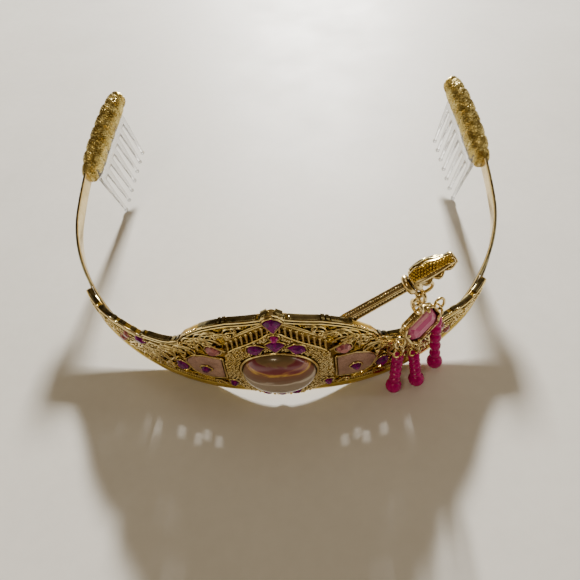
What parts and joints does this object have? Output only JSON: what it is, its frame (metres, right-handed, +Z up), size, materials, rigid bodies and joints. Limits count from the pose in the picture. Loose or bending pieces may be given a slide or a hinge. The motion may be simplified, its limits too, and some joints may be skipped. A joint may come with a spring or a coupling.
{
  "type": "costume crown",
  "caption": "Costume crown: a pierced gold tiara front set with coloured stones, on a thin open headband with braid-wrapped ends, hair combs, and a side pendant with bead drops.",
  "frame": {"origin": "bottom centre of the box, on the surface that the crown rests on", "axes": "+Z up, front of the crown towards -Y, +X to the right as seen from the front"},
  "size_m": [0.1506, 0.125, 0.0558],
  "materials": {
    "gold": "cast, granulated, antiqued",
    "pale_gold": "polished pale gold plate",
    "gold_braid": "woven metallic braid",
    "clear_plastic": "clear moulded",
    "clear_glass": "polished dome",
    "purple_glass": "cut and polished",
    "magenta_glass": "polished beads",
    "pink_glass": "cut and polished",
    "mauve_enamel": "satin enamel"
  },
  "bodies": {
    "root": {"big_kite_stone": "purple_glass", "crown": "gold", "first_bead_drop": "magenta_glass", "first_jump_ring": "pale_gold", "foot_middle_stone": "purple_glass", "headband": "pale_gold", "left_comb": "clear_plastic", "left_foot_stone": "purple_glass", "left_marquise_stone": "purple_glass", "left_panel": "mauve_enamel", "left_panel_stone": "purple_glass", "left_pink_stone": "pink_glass", "left_rhomb_stone": "purple_glass", "left_side_stone": "purple_glass", "left_wing_lower_pink_stone": "pink_glass", "left_wing_marquise_stone": "purple_glass", "left_wing_upper_pink_stone": "pink_glass", "left_wrap": "gold_braid", "lower_bail_ring": "pale_gold", "main_cabochon": "clear_glass", "pendant_setting": "gold", "pendant_stone": "pink_glass", "right_comb": "clear_plastic", "right_foot_stone": "purple_glass", "right_marquise_stone": "purple_glass", "right_panel": "mauve_enamel", "right_panel_stone": "purple_glass", "right_pink_stone": "pink_glass", "right_rhomb_stone": "purple_glass", "right_side_stone": "purple_glass", "right_wing_lower_pink_stone": "pink_glass", "right_wing_marquise_stone": "purple_glass", "right_wing_upper_pink_stone": "pink_glass", "right_wrap": "gold_braid", "second_bead_drop": "magenta_glass", "second_jump_ring": "pale_gold", "side_arm": "pale_gold", "small_round_stone": "magenta_glass", "third_bead_drop": "magenta_glass", "third_jump_ring": "pale_gold", "top_stone": "purple_glass", "upper_bail_ring": "pale_gold"}
  },
  "joints": []
}
